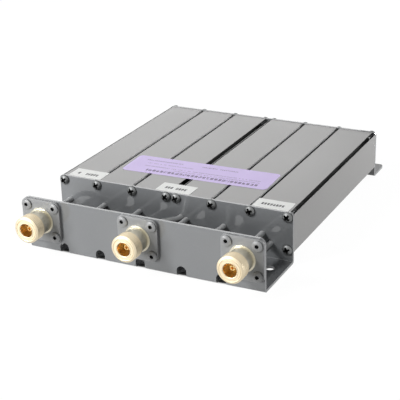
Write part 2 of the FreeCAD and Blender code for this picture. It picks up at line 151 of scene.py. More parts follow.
def axes(tree, vector):  # its X, Y and Z
    return addNode(tree, "SeparateXYZ", {0: vector}).outputs


def newMaterial(name):
    material = bpy.data.materials.new(name)
    material.use_nodes = True
    tree = material.node_tree
    return material, tree, tree.nodes["Principled BSDF"]


def feed(tree, shader, **inputs):  # names are the sockets' names without spaces
    for name, value in inputs.items():
        socket = next(s for s in shader.inputs if s.name.replace(" ", "") == name)
        setSocket(tree, socket, value)


def grey(level, warmth=0.0):
    return (level * (1 + warmth), level, level * (1 - warmth), 1.0)


def opaque(colour):
    return (*colour, 1.0)


# Shared effects: node groups that put out masks and values

effectSettings = {
    "peelScale": 900.0,
    "patchScale": 22.0,
    "patchRange": (0.3, 0.7),
    "speckScale": 2600.0,
    "speckRange": (0.66, 0.74),
    "linesAcross": 1400.0,
    "linesAlong": 9.0,
    "ringPitch": 5200.0,
    "ringWander": 160.0,
    "ringDrift": 2.5,
    "hazeRange": (0.35, 0.65),
    "scuffScale": 120.0,
    "scuffAmount": 0.5,
    "scuffWidth": 0.012,
    "scuffPlaceScale": 14.0,
    "scuffPlaceRange": (0.58, 0.68),
}


def makeSprayGroup():  # sprayed paint: orange peel to feel, slow patches and specks to see
    effect = effectSettings
    inputs = {"PeelScale": effect["peelScale"], "PatchScale": effect["patchScale"]}
    group, given, put = newGroup("sprayedPaint", inputs, ("Peel", "Patch", "Speck"))
    place = objectPlace(group)
    peel = addNode(group, "TexNoise", {"Vector": place, "Scale": given["PeelScale"], "Detail": 2.0})
    patch = addNode(group, "TexNoise", {"Vector": place, "Scale": given["PatchScale"], "Detail": 3.0})
    speck = addNode(group, "TexNoise", {"Vector": place, "Scale": effect["speckScale"], "Detail": 1.0})
    group.links.new(peel.outputs["Fac"], put["Peel"])
    group.links.new(spread(group, patch.outputs["Fac"], *effect["patchRange"]), put["Patch"])
    group.links.new(spread(group, speck.outputs["Fac"], *effect["speckRange"]), put["Speck"])
    return group


def makeDrawnGroup():  # lines left along Y by drawing or extruding
    inputs = {"Across": effectSettings["linesAcross"], "Along": effectSettings["linesAlong"]}
    group, given, put = newGroup("drawnLines", inputs, ("Lines",))
    stretch = addNode(group, "CombineXYZ", {0: given["Across"], 1: given["Along"], 2: given["Across"]})
    place = addNode(group, "VectorMath", {0: objectPlace(group), 1: stretch.outputs[0]}, operation="MULTIPLY")
    noise = addNode(group, "TexNoise", {"Vector": place.outputs[0], "Scale": 1.0, "Detail": 3.0})
    group.links.new(noise.outputs["Fac"], put["Lines"])
    return group


def makeTurnedGroup():  # fine lathe rings across Y, and a haze over them
    effect = effectSettings
    inputs = {"Pitch": effect["ringPitch"], "Wander": effect["ringWander"]}
    group, given, put = newGroup("turnedRings", inputs, ("Rings", "Haze"))
    place = objectPlace(group)
    noise = addNode(group, "TexNoise", {"Vector": place, "Scale": given["Wander"], "Detail": 3.0})
    drift = maths(group, "MULTIPLY", noise.outputs["Fac"], effect["ringDrift"])
    phase = maths(group, "ADD", maths(group, "MULTIPLY", axes(group, place)["Y"], given["Pitch"]), drift)
    group.links.new(maths(group, "SINE", phase), put["Rings"])
    group.links.new(spread(group, noise.outputs["Fac"], *effect["hazeRange"]), put["Haze"])
    return group


def makeScuffGroup():  # sparse hairline scuffs from handling
    effect = effectSettings
    inputs = {"Scale": effect["scuffScale"], "Amount": effect["scuffAmount"]}
    group, given, put = newGroup("handlingScuffs", inputs, ("Scuff",))
    place = objectPlace(group)
    where = addNode(group, "TexNoise", {"Vector": place, "Scale": effect["scuffPlaceScale"], "Detail": 2.0})
    cells = addNode(group, "TexVoronoi", {"Vector": place, "Scale": given["Scale"]},
                    feature="DISTANCE_TO_EDGE")
    line = spread(group, cells.outputs["Distance"], 0.0, effect["scuffWidth"], 1.0, 0.0)
    here = spread(group, where.outputs["Fac"], *effect["scuffPlaceRange"])
    scuff = maths(group, "MULTIPLY", maths(group, "MULTIPLY", line, here), given["Amount"])
    group.links.new(scuff, put["Scuff"])
    return group


sprayedPaint = makeSprayGroup()
drawnLines = makeDrawnGroup()
turnedRings = makeTurnedGroup()
handlingScuffs = makeScuffGroup()
print("shared effects ready")


# Paints

paintSettings = {
    "blockPaint": {"level": 0.285, "warmth": 0.012, "roughness": 0.34, "gloss": 0.05, "index": 1.5,
                   "peel": 0.05, "lines": 0.25},
    "bracketPaint": {"level": 0.22, "warmth": -0.034, "roughness": 0.018, "gloss": 0.012, "index": 1.7,
                     "peel": 0.006, "lines": 0.0},
    "flangePaint": {"level": 0.275, "warmth": -0.02, "roughness": 0.27, "gloss": 0.05, "index": 1.55,
                    "peel": 0.06, "lines": 0.0},
    # the cables: the chassis grey at about twice its level, as painted light on their tops
    "cablePaintWithLightAndShade": {"level": 0.60, "warmth": -0.01, "roughness": 0.26, "gloss": 0.05, "index": 1.5,
                   "peel": 0.10, "lines": 0.3},
}
paintWear = {
    "toneSpread": 0.03,
    "specks": 0.35,
    "speckLevel": 1.5,
    "scuffs": 0.35,
    "scuffLevel": 1.6,
    "scuffRoughness": 0.3,
    "bumpMm": 0.4,
}
grooveSettings = {
    "slotStartMm": 0.1,
    "slotFullMm": 0.3,
    # the slot walls' tone, lighter than the paint as painted light where the lamps reach little
    "slotLevel": 0.85,
    "hollowStartMm": 1.2,
    "hollowFullMm": 1.5,
    # near black, as painted shade deep in the channels
    "hollowLevel": 0.01,
    "hollowRoughness": 0.8,
    "openCornerMm": 5.0,
}
# the near-black painted shade on the cables' undersides, and the lean of the faces over which it fades
cableUndersideShade = {"underLevel": 0.025, "leanRange": (-0.25, 0.4)}


def insideBlocks(tree, near, far):  # from 0 to 1 between two depths below the blocks' outer faces
    low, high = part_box("left_cavity_block")
    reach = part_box("right_cavity_block")[1].x
    place = axes(tree, objectPlace(tree))
    below = spread(tree, place["Z"], high.z - far, high.z - near, 1.0, 0.0)
    above = spread(tree, place["Z"], low.z + near, low.z + far)
    within = spread(tree, maths(tree, "ABSOLUTE", place["X"]), reach - far, reach - near, 1.0, 0.0)
    return maths(tree, "MULTIPLY", below, maths(tree, "MULTIPLY", above, within))


def paintGrooveLightAndShade(tree, tone, roughness):  # painted light on the slot walls, far lighter than the paint; painted shade, near black and dull, deep in the hollows
    groove = metres(grooveSettings)
    litSlots = insideBlocks(tree, groove["slotStart"], groove["slotFull"])
    # painted light: the slot walls get a much lighter grey
    tone = mixColours(tree, litSlots, tone, grey(groove["slotLevel"]))
    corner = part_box("left_cavity_block")[0].x + groove["openCorner"]  # the left-hand corner channel lies open and gets no painted shade
    beyond = maths(tree, "GREATER_THAN", axes(tree, objectPlace(tree))["X"], corner)
    shadedHollows = insideBlocks(tree, groove["hollowStart"], groove["hollowFull"])
    shadedHollows = maths(tree, "MULTIPLY", shadedHollows, beyond)
    # painted shade: near black deep in the channels, except in the open corner channel
    tone = mixColours(tree, shadedHollows, tone, grey(groove["hollowLevel"]))
    return tone, addNode(tree, "Mix", {0: shadedHollows, 2: roughness, 3: groove["hollowRoughness"]}).outputs[0]


def facingUp(tree):  # 1 on the tops of the cables, 0 on their undersides, which get near-black painted shade
    normal = addNode(tree, "TexCoord").outputs["Normal"]
    return spread(tree, axes(tree, normal)["Z"], *cableUndersideShade["leanRange"])


def makePaint(name):
    look, wear = paintSettings[name], metres(paintWear)
    material, tree, shader = newMaterial(name)
    spray = useGroup(tree, sprayedPaint)
    scuff = useGroup(tree, handlingScuffs, Amount=wear["scuffs"])["Scuff"]
    lines = useGroup(tree, drawnLines)["Lines"]
    level, warmth = look["level"], look["warmth"]
    dark, light = (grey(level * (1 + side * wear["toneSpread"]), warmth) for side in (-1, 1))
    tone = mixColours(tree, spray["Patch"], dark, light)
    specks = maths(tree, "MULTIPLY", spray["Speck"], wear["specks"])
    tone = mixColours(tree, specks, tone, grey(level * wear["speckLevel"], warmth))
    tone = mixColours(tree, scuff, tone, grey(level * wear["scuffLevel"], warmth))
    roughness = maths(tree, "MULTIPLY_ADD", spray["Patch"], look["gloss"], look["roughness"])
    if name == "blockPaint":
        tone, roughness = paintGrooveLightAndShade(tree, tone, roughness)
    if name == "cablePaintWithLightAndShade":
        # painted shade: near black on the cables' undersides
        tone = mixColours(tree, facingUp(tree), grey(cableUndersideShade["underLevel"]), tone)
    roughness = maths(tree, "ADD", roughness, maths(tree, "MULTIPLY", scuff, wear["scuffRoughness"]))
    height = maths(tree, "ADD", maths(tree, "MULTIPLY", lines, look["lines"]), spray["Peel"])
    feed(tree, shader, BaseColor=tone, Roughness=roughness, IOR=look["index"],
         Normal=addBump(tree, look["peel"], wear["bump"], height))
    return material


paints = {name: makePaint(name) for name in paintSettings}


# Metals and plastic

metalSettings = {
    "jackPlating": {"light": (0.73, 0.64, 0.47), "dark": (0.62, 0.52, 0.36),
                    "roughness": 0.49, "rings": 0.03},
    # a greyer, darker copy of the barrel's plating on the neck and collar, as painted reflection of the grey
    # panel and painted shade
    "neckPlating": {"light": (0.66, 0.63, 0.53), "dark": (0.54, 0.505, 0.41),
                    "roughness": 0.38, "rings": 0.03},
    # a darker amber copy of the plating on the bore, as painted reflection of the gold contact and painted
    # shade
    "mouthPlating": {"light": (0.86, 0.65, 0.31), "dark": (0.66, 0.44, 0.15),
                     "roughness": 0.28, "rings": 0.04},
    "contactGold": {"light": (0.95, 0.66, 0.28), "dark": (0.80, 0.46, 0.13),
                    "roughness": 0.24, "rings": 0.03},
    "screwSteel": {"light": (0.215, 0.22, 0.22), "dark": (0.14, 0.143, 0.143),
                   "roughness": 0.46, "rings": 0.02},
    # painted shade: near-black metal on the sides of the cover screws' heads
    "screwSidePaintedShade": {"light": (0.055, 0.056, 0.057), "dark": (0.03, 0.031, 0.032),
                 "roughness": 0.40, "rings": 0.02},
    # painted shade: near-black metal in the screws' crosses and the rivets' eyes
    "blackRecessPaintedShade": {"light": (0.014, 0.014, 0.014), "dark": (0.006, 0.006, 0.006),
                 "roughness": 0.5, "rings": 0.02},
    "tuningBrass": {"light": (0.80, 0.62, 0.30), "dark": (0.62, 0.46, 0.20),
                    "roughness": 0.30, "rings": 0.05},
    "silverPlating": {"light": (0.86, 0.85, 0.82), "dark": (0.70, 0.68, 0.63),
                      "roughness": 0.28, "rings": 0.04},
    "loopCopper": {"light": (0.84, 0.76, 0.66), "dark": (0.66, 0.52, 0.42),
                   "roughness": 0.34, "rings": 0.02},
}
metalWear = {
    "haze": 0.45,
    "hazeRoughness": 0.08,
    "scuffScale": 260.0,
    "scuffs": 0.4,
    "scuffRoughness": 0.3,
    "bumpMm": 0.1,
}
insulatorSettings = {
    "dark": (0.78, 0.66, 0.46),
    "light": (0.86, 0.76, 0.58),
    "roughness": 0.42,
    "peelScale": 600.0,
    "patchScale": 300.0,
    "peel": 0.05,
    "bumpMm": 0.2,
}


def makeMetal(name):
    look, wear = metalSettings[name], metres(metalWear)
    material, tree, shader = newMaterial(name)
    rings = useGroup(tree, turnedRings)
    scuff = useGroup(tree, handlingScuffs, Scale=wear["scuffScale"], Amount=wear["scuffs"])["Scuff"]
    light, dark = opaque(look["light"]), opaque(look["dark"])
    tone = mixColours(tree, wear["haze"], light, mixColours(tree, rings["Haze"], light, dark))
    roughness = maths(tree, "MULTIPLY_ADD", rings["Haze"], wear["hazeRoughness"], look["roughness"])
    roughness = maths(tree, "ADD", roughness, maths(tree, "MULTIPLY", scuff, wear["scuffRoughness"]))
    feed(tree, shader, BaseColor=tone, Metallic=1.0, Roughness=roughness,
         Normal=addBump(tree, look["rings"], wear["bump"], rings["Rings"]))
    return material


def makeInsulator():  # pale plastic in the jacks' mouths
    look = metres(insulatorSettings)
    material, tree, shader = newMaterial("waxyInsulator")
    spray = useGroup(tree, sprayedPaint, PeelScale=look["peelScale"], PatchScale=look["patchScale"])
    tone = mixColours(tree, spray["Patch"], opaque(look["dark"]), opaque(look["light"]))
    feed(tree, shader, BaseColor=tone, Roughness=look["roughness"],
         Normal=addBump(tree, look["peel"], look["bump"], spray["Peel"]))
    return material


metals = {name: makeMetal(name) for name in metalSettings}
insulatorPlastic = makeInsulator()
print("paints and metals ready")


# Stickers: vinyl with rows of small marks in place of print

printSettings = {"markWidth": 0.76, "gaps": 0.10, "strokesPerMark": 1.25, "strokeGaps": 0.40}
vinylSettings = {"patchScale": 60.0, "darker": 0.97, "lighter": 1.02, "roughness": 0.5, "peel": 0.04,
                 "bumpMm": 0.2, "rowSeed": 17.0}
smallLabel = {
    "vinyl": (0.95, 0.96, 0.94),
    "ink": (0.03, 0.03, 0.035),
    "turn": 0.0,
    "rowsMm": [{"centre": -0.6, "height": 2.9, "start": -7.2, "end": 7.2, "letter": 1.8, "strength": 1.0}],
}
ratingLabel = {
    "vinyl": (0.735, 0.605, 0.98),
    "ink": (0.13, 0.08, 0.20),
    "turn": 1.8,
    "rowsMm": [
        {"centre": -8.6, "height": 2.9, "start": -33.0, "end": 41.0, "letter": 2.6, "strength": 0.95},
        {"centre": -5.0, "height": 1.3, "start": -16.0, "end": 41.0, "letter": 1.1, "strength": 0.55},
        {"centre": -2.2, "height": 1.3, "start": -37.0, "end": 41.0, "letter": 1.1, "strength": 0.5},
        {"centre": 2.4, "height": 1.3, "start": -38.0, "end": -6.0, "letter": 1.1, "strength": 0.45},
        {"centre": 7.2, "height": 1.5, "start": -40.0, "end": -15.0, "letter": 1.25, "strength": 0.6},
        {"centre": 7.2, "height": 1.5, "start": -2.0, "end": 22.0, "letter": 1.25, "strength": 0.6},
    ],
}
stickers = {  # each with the seed of its marks
    "low_label": (smallLabel, 0.0),
    "antenna_label": (smallLabel, 5.0),
    "high_label": (smallLabel, 10.0),
    "rating_label": (ratingLabel, 40.0),
}


def makePrintGroup():
    inputs = {"Place": (0.0, 0.0, 0.0), "Centre": 0.0, "Height": 0.002, "Start": -0.01, "End": 0.01}
    inputs.update({"Letter": 0.001, "Seed": 0.0})
    group, given, put = newGroup("printedRow", inputs, ("Ink",))
    place = axes(group, given["Place"])
    off = maths(group, "ABSOLUTE", maths(group, "SUBTRACT", place["Y"], given["Centre"]))
    inRow = maths(group, "LESS_THAN", off, maths(group, "MULTIPLY", given["Height"], 0.5))
    after = maths(group, "GREATER_THAN", place["X"], given["Start"])
    before = maths(group, "LESS_THAN", place["X"], given["End"])
    count = maths(group, "DIVIDE", place["X"], given["Letter"])
    body = maths(group, "LESS_THAN", maths(group, "FRACT", count), printSettings["markWidth"])
    cell = maths(group, "ADD", maths(group, "FLOOR", count), given["Seed"])
    chance = addNode(group, "TexWhiteNoise", {"W": cell}, noise_dimensions="1D").outputs["Value"]
    filled = maths(group, "GREATER_THAN", chance, printSettings["gaps"])
    size = maths(group, "DIVIDE", printSettings["strokesPerMark"], given["Letter"])
    stroke = addNode(group, "TexNoise", {"Vector": given["Place"], "Scale": size, "Detail": 1.0})
    ink = maths(group, "GREATER_THAN", stroke.outputs["Fac"], printSettings["strokeGaps"])
    for part in (inRow, after, before, body, filled):
        ink = maths(group, "MULTIPLY", ink, part)
    group.links.new(ink, put["Ink"])
    return group


printedRow = makePrintGroup()


def makeLabelFinish(node, look, seed):
    low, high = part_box(node)
    finish = metres(vinylSettings)
    material, tree, shader = newMaterial(node + "Vinyl")
    turn = (0.0, 0.0, math.radians(look["turn"]))
    inputs = {"Vector": objectPlace(tree), "Location": (low + high) / 2, "Rotation": turn}
    place = addNode(tree, "Mapping", inputs, vector_type="TEXTURE").outputs[0]
    spray = useGroup(tree, sprayedPaint, PatchScale=finish["patchScale"])
    dark, light = (opaque(Vector(look["vinyl"]) * finish[side]) for side in ("darker", "lighter"))
    tone = mixColours(tree, spray["Patch"], dark, light)
    for index, row in enumerate(look["rowsMm"]):
        sizes = {key.capitalize(): row[key] * mm for key in ("centre", "height", "start", "end", "letter")}
        ink = useGroup(tree, printedRow, Place=place, Seed=seed + finish["rowSeed"] * index, **sizes)["Ink"]
        tone = mixColours(tree, maths(tree, "MULTIPLY", ink, row["strength"]), tone, opaque(look["ink"]))
    feed(tree, shader, BaseColor=tone, Roughness=finish["roughness"],
         Normal=addBump(tree, finish["peel"], finish["bump"], spray["Peel"]))
    return material


def dress(node, material):
    nodes[node].data.materials.clear()
    nodes[node].data.materials.append(material)


for name, (look, seed) in stickers.items():
    dress(name, makeLabelFinish(name, look, seed))
print("stickers ready")


# Finishes of the solids that stay as they are

finishes = {
    "left_cavity_block": paints["blockPaint"],
    "right_cavity_block": paints["blockPaint"],
    "front_bracket": paints["bracketPaint"],
    "rear_bracket": paints["bracketPaint"],
    "tuning_bushings": metals["tuningBrass"],
    "lock_nuts": metals["tuningBrass"],
}
for port in ports:
    finishes[port + "_connector_insulator"] = insulatorPlastic
    finishes[port + "_connector_contact"] = metals["contactGold"]
for number in cavities:
    finishes["resonator_%d" % number] = metals["silverPlating"]
    finishes["coupling_loop_%d" % number] = metals["loopCopper"]
for name in nodes:
    if name.endswith("_cable") or name.startswith("link_cable"):
        finishes[name] = paints["cablePaintWithLightAndShade"]
for name, material in finishes.items():
    dress(name, material)
print("solids dressed")


# Turned pieces, and the helpers that every made piece uses

threadFlank = 0.44  # half the width of a thread's groove, in pitches


def easeCorners(corners, steps=4, share=0.45):  # (radius, y, ease) corners; an eased one becomes a curve
    points = []
    for index, (radius, y, ease) in enumerate(corners):
        here = Vector((radius, y))
        if ease == 0 or index in (0, len(corners) - 1):
            points.append(here)
            continue
        before = Vector(corners[index - 1][:2]) - here
        after = Vector(corners[index + 1][:2]) - here
        start = here + before.normalized() * min(ease, before.length * share)
        end = here + after.normalized() * min(ease, after.length * share)
        for step in range(steps + 1):
            t = step / steps
            points.append(start * (1 - t) ** 2 + here * 2 * t * (1 - t) + end * t ** 2)
    return points


def threadRings(radius, y0, y1, pitch, stepsPerTurn):
    count = max(2, round(abs(y1 - y0) / pitch * stepsPerTurn))
    return [Vector((radius, y0 + (y1 - y0) * index / count)) for index in range(count + 1)]


def threadDip(y, angle, thread):  # how far the surface lies below the crest
    if thread is None:
        return 0.0
    low, high = sorted((thread["from"], thread["to"]))
    if not low <= y <= high:
        return 0.0
    fade = min(1.0, (y - low) / thread["pitch"], (high - y) / thread["pitch"])
    phase = (y / thread["pitch"] - angle / (2 * math.pi)) % 1.0
    groove = max(0.0, 1.0 - abs(phase - 0.5) / threadFlank)
    return thread["depth"] * fade * groove


def turnedMesh(name, profile, centre, around, thread=None):
    # profile runs as (radius, y) in metres; centre is the axis in x and z
    vertices, rings = [], []
    for radius, y in profile:
        if radius < 1e-7:  # a point on the axis
            rings.append([len(vertices)] * around)
            vertices.append((centre[0], y, centre[1]))
            continue
        ring = []
        for step in range(around):
            angle = 2 * math.pi * step / around
            reach = radius - threadDip(y, angle, thread)
            ring.append(len(vertices))
            vertices.append((centre[0] + reach * math.cos(angle), y, centre[1] + reach * math.sin(angle)))
        rings.append(ring)
    faces = []
    for one, two in zip(rings, rings[1:]):
        for step in range(around):
            after = (step + 1) % around
            corners = []
            for corner in (one[step], one[after], two[after], two[step]):
                if corner not in corners:
                    corners.append(corner)
            if len(corners) > 2:
                faces.append(corners)
    mesh = bpy.data.meshes.new(name)
    mesh.from_pydata(vertices, [], faces)
    return mesh


def stackedMesh(name, outlines):  # a closed solid through outlines of (x, y, z) points, equal in number
    count = len(outlines[0])
    vertices = [point for outline in outlines for point in outline]
    faces = []
    for one in range(0, len(vertices) - count, count):
        two = one + count
        for index in range(count):
            after = (index + 1) % count
            faces.append((one + index, one + after, two + after, two + index))
    faces.append(tuple(reversed(range(count))))
    faces.append(tuple(range(len(vertices) - count, len(vertices))))
    mesh = bpy.data.meshes.new(name)
    mesh.from_pydata(vertices, [], faces)
    return mesh


def placeMesh(name, mesh, material=None, sharp=32.0):
    mesh.validate()
    mesh.shade_smooth()
    mesh.set_sharp_from_angle(angle=math.radians(sharp))
    if material is not None:
        mesh.materials.append(material)
    piece = bpy.data.objects.new(name, mesh)
    scene.collection.objects.link(piece)
    return piece


def outwardFaces(mesh):  # turns every face to look outwards
    shape = bmesh.new()
    shape.from_mesh(mesh)
    bmesh.ops.recalc_face_normals(shape, faces=shape.faces)
    shape.to_mesh(mesh)
    shape.free()
    return mesh


def cutBy(piece, cutter):  # takes the cutter's volume out of the piece
    modifier = piece.modifiers.new("cut", "BOOLEAN")
    modifier.object = cutter
    modifier.operation = "DIFFERENCE"
    modifier.solver = "EXACT"
    modifier.material_mode = "TRANSFER"
    bpy.context.view_layer.update()
    cut = bpy.data.meshes.new_from_object(piece.evaluated_get(bpy.context.evaluated_depsgraph_get()))
    piece.modifiers.clear()
    piece.data = cut
    bpy.data.objects.remove(cutter)
    return piece


def joinPieces(pieces):
    with bpy.context.temp_override(active_object=pieces[0], selected_editable_objects=pieces):
        bpy.ops.object.join()
    return pieces[0]


# Jacks: painted square flange, plated barrel with a real thread

jackSizes = {  # round things are given by their radius
    "mouthMm": 4.05,
    "mouthLipMm": 0.35,
    "mouthDepthMm": 9.0,
    "boreMm": 3.4,
    "barrelMm": 7.94,
    "noseMm": 1.0,
    "threadEndMm": 7.3,
    "threadPitchMm": 1.058,
    "threadDepthMm": 0.14,
    "neckMm": 7.0,
    "collarMm": 8.05,
    "collarLengthMm": 0.4,
    "collarRimMm": 0.25,
    "collarDishMm": 0.3,
    "faceLipMm": 0.75,
    "faceSetbackMm": 0.25,
    "faceGrooveMm": 6.3,
    "faceGrooveDepthMm": 0.3,
    "easeMm": 0.12,
    "flangeSideMm": 25.4,
    "flangeCornerMm": 3.2,
    "flangeThickMm": 1.7,
    "flangeEaseMm": 0.05,
    "flangeEaseSteps": 3,
    "flangeSharp": 50.0,
    "reachMm": 17.6,
    "bossMm": 5.5,
    "bossWallMm": 2.0,
    "rivetPitchMm": 18.26,
    "rivetHoleMm": 1.65,
    "rivetHoleAround": 24,
    "stepsPerTurn": 8,
    "around": 96,
}


def roundedSquare(side, corner, steps=8):
    points = []
    half = side / 2 - corner
    for quarter, (signX, signZ) in enumerate(((1, 1), (-1, 1), (-1, -1), (1, -1))):
        for step in range(steps + 1):
            angle = math.pi / 2 * (quarter + step / steps)
            points.append((signX * half + corner * math.cos(angle), signZ * half + corner * math.sin(angle)))
    return points


def makeFlange(name, centre, front, back):
    size = metres(jackSizes)
    ease, steps = size["flangeEase"], size["flangeEaseSteps"]
    levels = [(0.0, back)]
    for step in range(steps + 1):
        angle = math.pi / 2 * step / steps
        levels.append((ease * (1 - math.cos(angle)), front + ease * (1 - math.sin(angle))))
    outlines = []
    for inset, y in levels:
        outline = roundedSquare(size["flangeSide"] - 2 * inset, size["flangeCorner"] - inset)
        outlines.append([(centre[0] + u, y, centre[1] + w) for u, w in outline])
    flange = placeMesh(name, stackedMesh(name, outlines), paints["flangePaint"], size["flangeSharp"])
    half, radius = size["rivetPitch"] / 2, size["rivetHole"]
    profile = [(0.0, front - mm), (radius, front - mm), (radius, back + mm), (0.0, back + mm)]
    drills = []
    for u, w in ((half, half), (-half, half), (-half, -half), (half, -half)):
        drill = turnedMesh("drill", profile, (centre[0] + u, centre[1] + w), size["rivetHoleAround"])
        drills.append(placeMesh("drill", drill))
    return cutBy(flange, joinPieces(drills))


def makeJack(port):
    size = metres(jackSizes)
    node = port + "_connector_body"
    low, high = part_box(node)
    centre = ((low.x + high.x) / 2, (low.z + high.z) / 2)
    face, bossEnd = low.y, high.y
    panel = face + size["reach"]
    flangeFront = panel - size["flangeThick"]
    collarFront = flangeFront - size["collarLength"]
    threadStart, threadEnd = face + size["nose"], face + size["threadEnd"]
    barrel, neck, collar, boss = size["barrel"], size["neck"], size["collar"], size["boss"]
    mouth, bore, lip, ease = size["mouth"], size["bore"], size["mouthLip"], size["ease"]
    seat, bossWall = face + size["mouthDepth"], bossEnd - size["bossWall"]
    inside = [(0.0, bossWall, 0), (bore, bossWall, 0), (bore, seat, 0), (mouth, seat, 0)]
    inside += [(mouth, face + lip, 0)]
    lipEdge, setback = mouth + size["faceLip"], face + size["faceSetback"]
    groove, grooveFloor = size["faceGroove"], setback + size["faceGrooveDepth"]
    front = [(mouth, face + lip, 0), (mouth + lip, face, ease), (lipEdge, face, ease)]
    front += [(lipEdge, setback, 0), (groove - 2 * ease, setback, 0), (groove, grooveFloor, ease)]
    front += [(groove + 2 * ease, setback, ease), (barrel - size["nose"], setback, ease * 2)]
    front += [(barrel, threadStart, 0)]
    shoulder = threadEnd + barrel - neck
    back = [(barrel, threadEnd - ease, 0), (barrel, threadEnd, ease), (neck, shoulder, 0)]
    rim, dish = collar - size["collarRim"], collarFront + size["collarDish"]
    rear = [(neck, shoulder, 0), (neck, dish, 0), (rim, dish, 0), (rim, collarFront, ease)]
    rear += [(collar, collarFront, ease), (collar, panel, 0), (boss, panel, 0)]
    rear += [(boss, bossEnd, ease * 2), (0.0, bossEnd, 0)]
    pitch = size["threadPitch"]
    thread = {"from": threadStart, "to": threadEnd, "pitch": pitch, "depth": size["threadDepth"]}
    rings = threadRings(barrel, threadStart, threadEnd, pitch, size["stepsPerTurn"])
    profile = easeCorners(front) + rings[1:-1] + easeCorners(back)[1:]
    mouthMesh = turnedMesh("inside", easeCorners(inside), centre, size["around"])
    barrelMesh = turnedMesh("outside", profile, centre, size["around"], thread)
    neckMesh = turnedMesh("neck", easeCorners(rear), centre, size["around"])
    # the bore in the amber copy of the plating, as painted reflection and shade
    mouthPiece = placeMesh(port + "Mouth", mouthMesh, metals["mouthPlating"])
    barrelPiece = placeMesh(port + "Barrel", barrelMesh, metals["jackPlating"])
    # the neck and collar in the greyer copy of the plating, as painted reflection and shade
    neckPiece = placeMesh(port + "Neck", neckMesh, metals["neckPlating"])
    flange = makeFlange(port + "Flange", centre, flangeFront, panel)
    jack = joinPieces([barrelPiece, mouthPiece, neckPiece, flange])
    jack.name = port + "Jack"
    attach(jack, "chassis")
    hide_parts(node)


for port in ports:
    makeJack(port)
print("jacks ready")


# Cover screws: rounded pan heads with a tapered cross, in the cavity blocks' channels

coverScrewSizes = {  # head and shank by their radius, cross and wings by their full width
    "headMm": 3.1,
    "headHeightMm": 2.3,
    "rimMm": 0.7,
    "shankMm": 1.65,
    "lengthMm": 9.5,
    "pitchMm": 0.8,
    "threadMm": 0.2,
    "crossMm": 4.5,
    "crossFloorMm": 2.9,
    "wingMm": 1.4,
    "wingFloorMm": 0.8,
    "crossDepthMm": 2.0,
    "crossFilletMm": 0.3,
    "turn": 38.0,
    "turnSpread": 16.0,
    "turnChange": 2.4,  # radians of the wave from one screw to the next
    "rimLean": 0.55,
    "sharp": 40.0,
    "cornerInsetMm": 3.3,
    "channelInsetMm": 2.6,
    "webOffsetMm": 12.2,
    "stepsPerTurn": 4,
    "around": 40,
}


def screwPlaces():
    size = metres(coverScrewSizes)
    places = []
    for block in ("left_cavity_block", "right_cavity_block"):
        low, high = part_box(block)
        middle = (low.x + high.x) / 2
        reach = (high.x - low.x) / 2 - size["cornerInset"]
        for z in (low.z + size["channelInset"], high.z - size["channelInset"]):
            for side in (-1, 1):
                places.append((middle + side * reach, z))
                places.append((middle + side * size["webOffset"], z))
    return places


def crossOutline(reach, wing, fillet):
    corners = []
    for quarter in range(4):
        turn = Matrix.Rotation(math.pi / 2 * quarter, 2)
        for u, w in ((reach, -wing), (reach, wing), (wing + fillet, wing), (wing, wing + fillet)):
            corners.append(turn @ Vector((u, w)))
    return corners


def makeCross(centre, top, outward, turn):  # tapered cutter for the driver's cross
    size = metres(coverScrewSizes)
    levels = [
        (top + outward * mm, size["cross"] / 2, size["wing"] / 2),
        (top, size["cross"] / 2, size["wing"] / 2),
        (top - outward * size["crossDepth"], size["crossFloor"] / 2, size["wingFloor"] / 2),
    ]
    spin = Matrix.Rotation(turn, 2)
    outlines = []
    for y, reach, wing in levels:
        outline = [spin @ corner for corner in crossOutline(reach, wing, size["crossFillet"])]
        outlines.append([(centre[0] + u, y, centre[1] + w) for u, w in outline])
    return outwardFaces(stackedMesh("cross", outlines))


def domeRings(radius, rim, height, start, outward, steps=8, straight=0.9):  # (radius, y) from the rim's foot
    rise = height - rim
    ball = (radius ** 2 + rise ** 2) / (2 * rise)
    lean = math.asin(radius / ball)
    rings = [Vector((radius, start)), Vector((radius, start + outward * rim * straight))]
    for step in range(1, steps + 1):
        angle = lean * (1 - step / steps)
        sink = ball * (1 - math.cos(angle))
        rings.append(Vector((ball * math.sin(angle), start + outward * (height - sink))))
    return rings


def makeCoverScrews(node, outward, name):
    size = metres(coverScrewSizes)
    low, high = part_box(node)
    head, shank, pitch = size["headHeight"], size["shank"], size["pitch"]
    seat = low.y + head if outward < 0 else high.y - head
    tip, threadEnd = seat - outward * size["length"], seat - outward * mm
    thread = {"from": tip, "to": threadEnd, "pitch": pitch, "depth": size["thread"]}
    screws = []
    for index, centre in enumerate(screwPlaces()):
        profile = [Vector((0.0, tip)), *threadRings(shank, tip, threadEnd, pitch, size["stepsPerTurn"])]
        profile += [Vector((shank, seat)), *domeRings(size["head"], size["rim"], head, seat, outward)]
        mesh = outwardFaces(turnedMesh("coverScrew", profile, centre, size["around"], thread))
        screw = placeMesh("coverScrew%d" % index, mesh, metals["screwSteel"], size["sharp"])
        mesh.materials.append(metals["screwSidePaintedShade"])
        for face in mesh.polygons:  # painted shade: the head's side gets far darker metal than its crown
            if abs(face.normal.y) < size["rimLean"]:
                face.material_index = 1
        turn = size["turn"] + size["turnSpread"] * math.sin(size["turnChange"] * index)
        cross = makeCross(centre, seat + outward * head, outward, math.radians(turn))
        # the cross's cut walls take the near-black painted shade
        screws.append(cutBy(screw, placeMesh("cross", cross, metals["blackRecessPaintedShade"])))
    piece = joinPieces(screws)
    piece.name = name
    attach(piece, "chassis")
    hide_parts(node)


makeCoverScrews("front_cover_screws", -1, "frontScrews")
makeCoverScrews("rear_cover_screws", 1, "rearScrews")
print("cover screws ready")


# Rivets of the jacks: domed heads with the broken stem at the bottom of a hole

